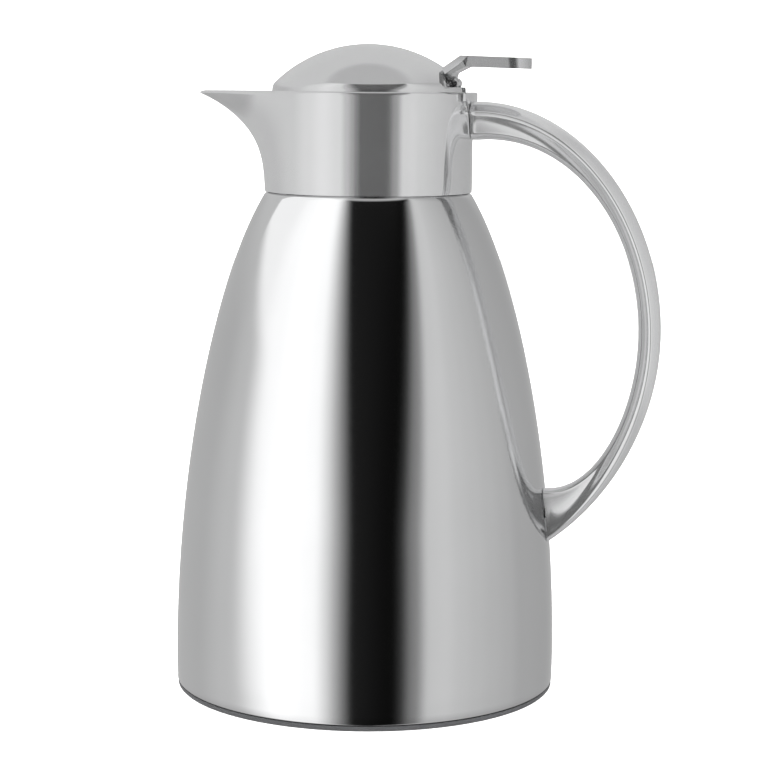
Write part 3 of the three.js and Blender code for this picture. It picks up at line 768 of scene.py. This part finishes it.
def inner_cover():
    body = turned("inner_cover_body", [
        (4.2, 234), (36, 234, 0.4), (36, 237.7, 0.3), (34.4, 237.7, 0.3), (34.4, 236.6), (4.2, 236.6),
    ], 160)
    w = 9.1
    boolean(body, prism("gap", [(30.8, 230), (46, 230), (46, 245), (30.8, 245)], -w, w), "DIFFERENCE")
    tidy(body)
    return body


def stopper():
    return turned("stopper_body_shell", [
        (2.2, 216.6), (22.6, 216.6, 0.8), (26.4, 233.7, 0.3), (24.4, 233.7, 0.3), (20.9, 218.4), (6, 218.4),
        (6, 231.5), (2.2, 231.5),
    ], 128)


def seal():
    return turned("stopper_seal_body", [
        (5.6, 214.3), (20, 214.3, 0.4), (21.4, 212.9, 0.4), (25.4, 212.9, 0.5), (25.4, 214.4, 0.5),
        (22.2, 216.3, 0.3), (5.6, 216.3),
    ], 128)


place(inner_cover(), INNER_PLASTIC, "lid", "inner_plastic", "lid_inner_cover")
place(stopper(), INNER_PLASTIC, "lid", "inner_plastic", "stopper_body")
place(seal(), SILICONE, "lid", "silicone", "stopper_seal")

# ---- pieces that keep their CAD shape -------------------------------------------------------
KEPT = {
    "handle_top_screw": SCREW_STEEL, "handle_foot_screw": SCREW_STEEL, "handle_foot_plate": ZINC,
    "clamp_ring": INNER_PLASTIC, "neck_gasket": BLACK_RUBBER, "flask_cushion": BLACK_RUBBER,
    "bracket_screw_left": SCREW_STEEL, "bracket_screw_right": SCREW_STEEL,
    "lever_screw_left": SCREW_STEEL, "lever_screw_right": SCREW_STEEL, "stopper_foam": FOAM,
    "stopper_nut": SCREW_STEEL, "stopper_screw": SCREW_STEEL,
}
for node, material in KEPT.items():
    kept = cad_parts[node]
    kept.data.materials.clear()
    kept.data.materials.append(material)


# ---- studio ---------------------------------------------------------------------------------
CAMERA_TURN = math.radians(12)  # the camera stands this far round towards the handle
CAMERA_DISTANCE = 0.878
CAMERA_HEIGHT = 0.2396
CAMERA_PITCH = 0.1343
CAMERA_YAW = 0.0078
CAMERA_ROLL = -0.0084
LENS = 103.96
LATERAL = Vector((math.cos(CAMERA_TURN), math.sin(CAMERA_TURN), 0))  # picture right, level
DEPTH = Vector((-math.sin(CAMERA_TURN), math.cos(CAMERA_TURN), 0))


def camera():
    data = bpy.data.cameras.new("camera")
    data.lens = LENS
    data.sensor_width = 36
    data.clip_start = 0.05
    obj = bpy.data.objects.new("camera", data)
    bpy.context.scene.collection.objects.link(obj)
    ahead = LATERAL * math.sin(CAMERA_YAW) + DEPTH * math.cos(CAMERA_YAW)
    forward = ahead * math.cos(CAMERA_PITCH) - Vector((0, 0, math.sin(CAMERA_PITCH)))
    right = LATERAL * math.cos(CAMERA_YAW) - DEPTH * math.sin(CAMERA_YAW)
    up = right.cross(forward)
    turned_right = right * math.cos(CAMERA_ROLL) - up * math.sin(CAMERA_ROLL)
    turned_up = right * math.sin(CAMERA_ROLL) + up * math.cos(CAMERA_ROLL)
    rotation = Matrix((turned_right, turned_up, -forward)).transposed()
    place_at = Vector((0, 0, CAMERA_HEIGHT)) - DEPTH * CAMERA_DISTANCE
    obj.matrix_world = Matrix.Translation(place_at) @ rotation.to_4x4()
    bpy.context.scene.camera = obj


def skewed(across, towards, height):
    """Bearing from the camera with the bands leaning to suit the height, in degrees."""
    share = np.clip((across + LEAN_START) / LEAN_SPAN, 0, 1)
    lean = LEAN_LEFT + (LEAN_RIGHT - LEAN_LEFT) * share
    return np.degrees(np.arctan2(across + lean * max(height, 0), towards))


def studio_world():
    """Soft white tent round the jug, with a dark gap on the side where the camera stands."""
    world = bpy.data.worlds.new("studio")
    world.use_nodes = True
    bpy.context.scene.world = world
    tree = world.node_tree
    background = tree.nodes["Background"]
    link = tree.links.new

    def math_node(operation, *values):
        node = tree.nodes.new("ShaderNodeMath")
        node.operation = operation
        for socket, value in zip(node.inputs, values):
            if isinstance(value, (int, float)):
                socket.default_value = value
            else:
                link(value, socket)
        return node.outputs[0]

    def dot(vector):
        node = tree.nodes.new("ShaderNodeVectorMath")
        node.operation = "DOT_PRODUCT"
        link(coordinates.outputs["Generated"], node.inputs[0])
        node.inputs[1].default_value = vector
        return node.outputs["Value"]

    def smooth(value, low, high, start=0.0, end=1.0):
        node = tree.nodes.new("ShaderNodeMapRange")
        node.interpolation_type = "SMOOTHSTEP"
        for key, number in (("From Min", low), ("From Max", high), ("To Min", start), ("To Max", end)):
            node.inputs[key].default_value = number
        link(value, node.inputs["Value"])
        return node.outputs["Result"]

    def ramp(value, stops):
        node = tree.nodes.new("ShaderNodeValToRGB")
        node.color_ramp.interpolation = "EASE"
        elements = node.color_ramp.elements
        elements[0].position, elements[1].position = stops[0][0], stops[-1][0]
        elements[0].color, elements[1].color = [(v, v, v, 1) for v in (stops[0][1], stops[-1][1])]
        for position, v in stops[1:-1]:
            elements.new(position).color = (v, v, v, 1)
        link(value, node.inputs[0])
        return node.outputs["Color"]

    def blend(share, first, second):
        node = tree.nodes.new("ShaderNodeMix")
        node.data_type = "RGBA"
        link(share, node.inputs["Factor"])
        link(first, node.inputs["A"])
        node.inputs["B"].default_value = (second, second, second, 1)
        return node.outputs["Result"]

    coordinates = tree.nodes.new("ShaderNodeTexCoord")
    across, towards, height = dot(LATERAL), dot(-DEPTH), dot(Vector((0, 0, 1)))
    share = math_node("MULTIPLY_ADD", across, 1 / LEAN_SPAN, LEAN_START / LEAN_SPAN)
    share = math_node("MINIMUM", math_node("MAXIMUM", share, 0), 1)
    lean = math_node("MULTIPLY_ADD", share, LEAN_RIGHT - LEAN_LEFT, LEAN_LEFT)
    above = math_node("MAXIMUM", height, 0)
    bearing = math_node("ARCTAN2", math_node("MULTIPLY_ADD", lean, above, across), towards)
    turn = math_node("MULTIPLY_ADD", bearing, 0.5 / math.pi, 0.5)
    around = ramp(turn, [(0.5 + angle / 360, value) for angle, value in TENT])
    below = ramp(math_node("MULTIPLY_ADD", height, 0.5, 0.5), GROUND)
    shaded = tree.nodes.new("ShaderNodeVectorMath")
    shaded.operation = "MULTIPLY"
    link(around, shaded.inputs[0])
    link(below, shaded.inputs[1])
    behind = math_node("MULTIPLY", smooth(towards, 0.1, -0.25), smooth(height, 0.1, 0.35))
    rear = math_node("MULTIPLY", behind, smooth(across, 0.6, 0.25))
    rear_wall = blend(rear, shaded.outputs[0], REAR)
    sky = blend(smooth(height, 0.86, 0.93), rear_wall, CEILING)
    link(sky, background.inputs["Color"])
    background.inputs["Strength"].default_value = 1.0


# Brightness of the tent by bearing from the camera, in degrees, left negative.
TENT = [
    (-179, 0.5), (-123, 0.5), (-94, 0.6), (-71, 0.73), (-51, 0.83), (-32, 0.74), (-24, 0.5), (-17, 0.3),
    (-13.8, 0.15), (-8, 0.012), (17, 0.004), (20, 0.025), (29.5, 0.26), (39, 0.68), (49, 0.7),
    (60, 0.64), (71, 0.6), (83, 0.56), (96, 0.52), (110, 0.46), (145, 0.42), (179, 0.5),
]
# Share of the brightness left by height, from straight down to straight up.
GROUND = [(0, 0.95), (0.12, 0.86), (0.27, 0.74), (0.36, 1), (1, 1)]
# Lean of the bands with height, at the left and at the right, and the stretch across that it changes over.
LEAN_LEFT = 0.19
LEAN_RIGHT = -0.45
LEAN_START, LEAN_SPAN = 0.2, 0.57
REAR = 0.6
CEILING = 0.45


def glow_card(name, radius, brightness, *receivers):
    """Part of a large sphere that glows by direction and is mirrored only by the receivers."""
    columns, rows = 96, 56
    middle = Vector((0, 0, 0.13))
    vertices, values = [], []
    for row in range(rows + 1):
        up = math.radians(-50 + 130 * row / rows)
        for column in range(columns + 1):
            a = math.radians(-120 + 200 * column / columns)
            across, towards, height = math.sin(a) * math.cos(up), math.cos(a) * math.cos(up), math.sin(up)
            spot = (LATERAL * across - DEPTH * towards + Vector((0, 0, height))) * radius + middle
            vertices.append(tuple(spot))
            values.append(brightness(across, towards, height))
    wide = columns + 1
    faces = [(r * wide + c, r * wide + c + 1, (r + 1) * wide + c + 1, (r + 1) * wide + c)
             for r in range(rows) for c in range(columns)]
    mesh = bpy.data.meshes.new(name)
    mesh.from_pydata(vertices, [], faces)
    glow = mesh.attributes.new("glow", "FLOAT", "POINT")
    for i, value in enumerate(values):
        glow.data[i].value = value
    material = bpy.data.materials.new(name)
    material.use_nodes = True
    tree = material.node_tree
    tree.nodes.clear()
    output = tree.nodes.new("ShaderNodeOutputMaterial")
    add = tree.nodes.new("ShaderNodeAddShader")
    clear = tree.nodes.new("ShaderNodeBsdfTransparent")
    emission = tree.nodes.new("ShaderNodeEmission")
    attribute = tree.nodes.new("ShaderNodeAttribute")
    attribute.attribute_name = "glow"
    tree.links.new(attribute.outputs["Fac"], emission.inputs["Strength"])
    tree.links.new(clear.outputs[0], add.inputs[0])
    tree.links.new(emission.outputs[0], add.inputs[1])
    tree.links.new(add.outputs[0], output.inputs["Surface"])
    mesh.materials.append(material)
    obj = bpy.data.objects.new(name, mesh)
    bpy.context.scene.collection.objects.link(obj)
    obj.visible_camera = False
    obj.visible_diffuse = False
    obj.visible_shadow = False
    lit = bpy.data.collections.new(name + "_lit")
    bpy.context.scene.collection.children.link(lit)
    for receiver in receivers:
        lit.objects.link(bpy.data.objects[receiver])
    obj.light_linking.receiver_collection = lit


def strip(across, towards, height):
    """Extra brightness of the white side, as the steel shell mirrors it."""
    bearing = skewed(across, towards, height)
    band = np.interp(bearing, [d for d, _ in STRIP], [v for _, v in STRIP])
    edge = 0.2 - 0.35 * height - 3.3 * max(height - 0.21, 0)
    front = np.clip((towards - edge) / 0.45 + 0.5, 0, 1)
    return float(band * front * front * (3 - 2 * front))


# Extra brightness of the strip by the same bearing.
STRIP = [(-110, 0.5), (-36, 0.5), (-27, 0.5), (-17.5, 0.16), (-13.8, 0.1), (-8, 0)]


def floor():
    """Pale floor running up into a backdrop all round, wide enough for every view."""
    count, reach, sweep, height = 96, 2.2, 0.8, 5.0
    turns = np.linspace(0, math.pi / 2, 12)
    profile = [(reach + sweep * math.sin(a), sweep - sweep * math.cos(a)) for a in turns]
    profile.append((reach + sweep, height))
    rings = []
    vertices, faces = [], []
    around = np.linspace(0, 2 * math.pi, count + 1)[:-1]
    for r, z in profile:
        rings.append(len(vertices))
        vertices += [(r * math.cos(a), r * math.sin(a), z) for a in around]
    for low, high in zip(rings[:-1], rings[1:]):
        faces += [(low + i, low + (i + 1) % count, high + (i + 1) % count, high + i) for i in range(count)]
    vertices.append((0, 0, 0))
    faces += [(i, (i + 1) % count, len(vertices) - 1) for i in range(count)]
    mesh = bpy.data.meshes.new("floor")
    mesh.from_pydata(vertices, [], faces)
    for face in mesh.polygons:
        face.use_smooth = True
    material = bpy.data.materials.new("floor")
    material.use_nodes = True
    shader = material.node_tree.nodes["Principled BSDF"]
    shader.inputs["Base Color"].default_value = (0.86, 0.86, 0.86, 1)
    shader.inputs["Roughness"].default_value = 0.9
    shader.inputs["Emission Color"].default_value = (1, 1, 1, 1)
    shader.inputs["Emission Strength"].default_value = 0.75
    mesh.materials.append(material)
    obj = bpy.data.objects.new("floor", mesh)
    bpy.context.scene.collection.objects.link(obj)
    obj.visible_glossy = False
    obj.visible_shadow = False


camera()
studio_world()
glow_card("strip", 2.4, strip, "jug_shell")
floor()
bpy.context.scene.view_settings.view_transform = "Standard"
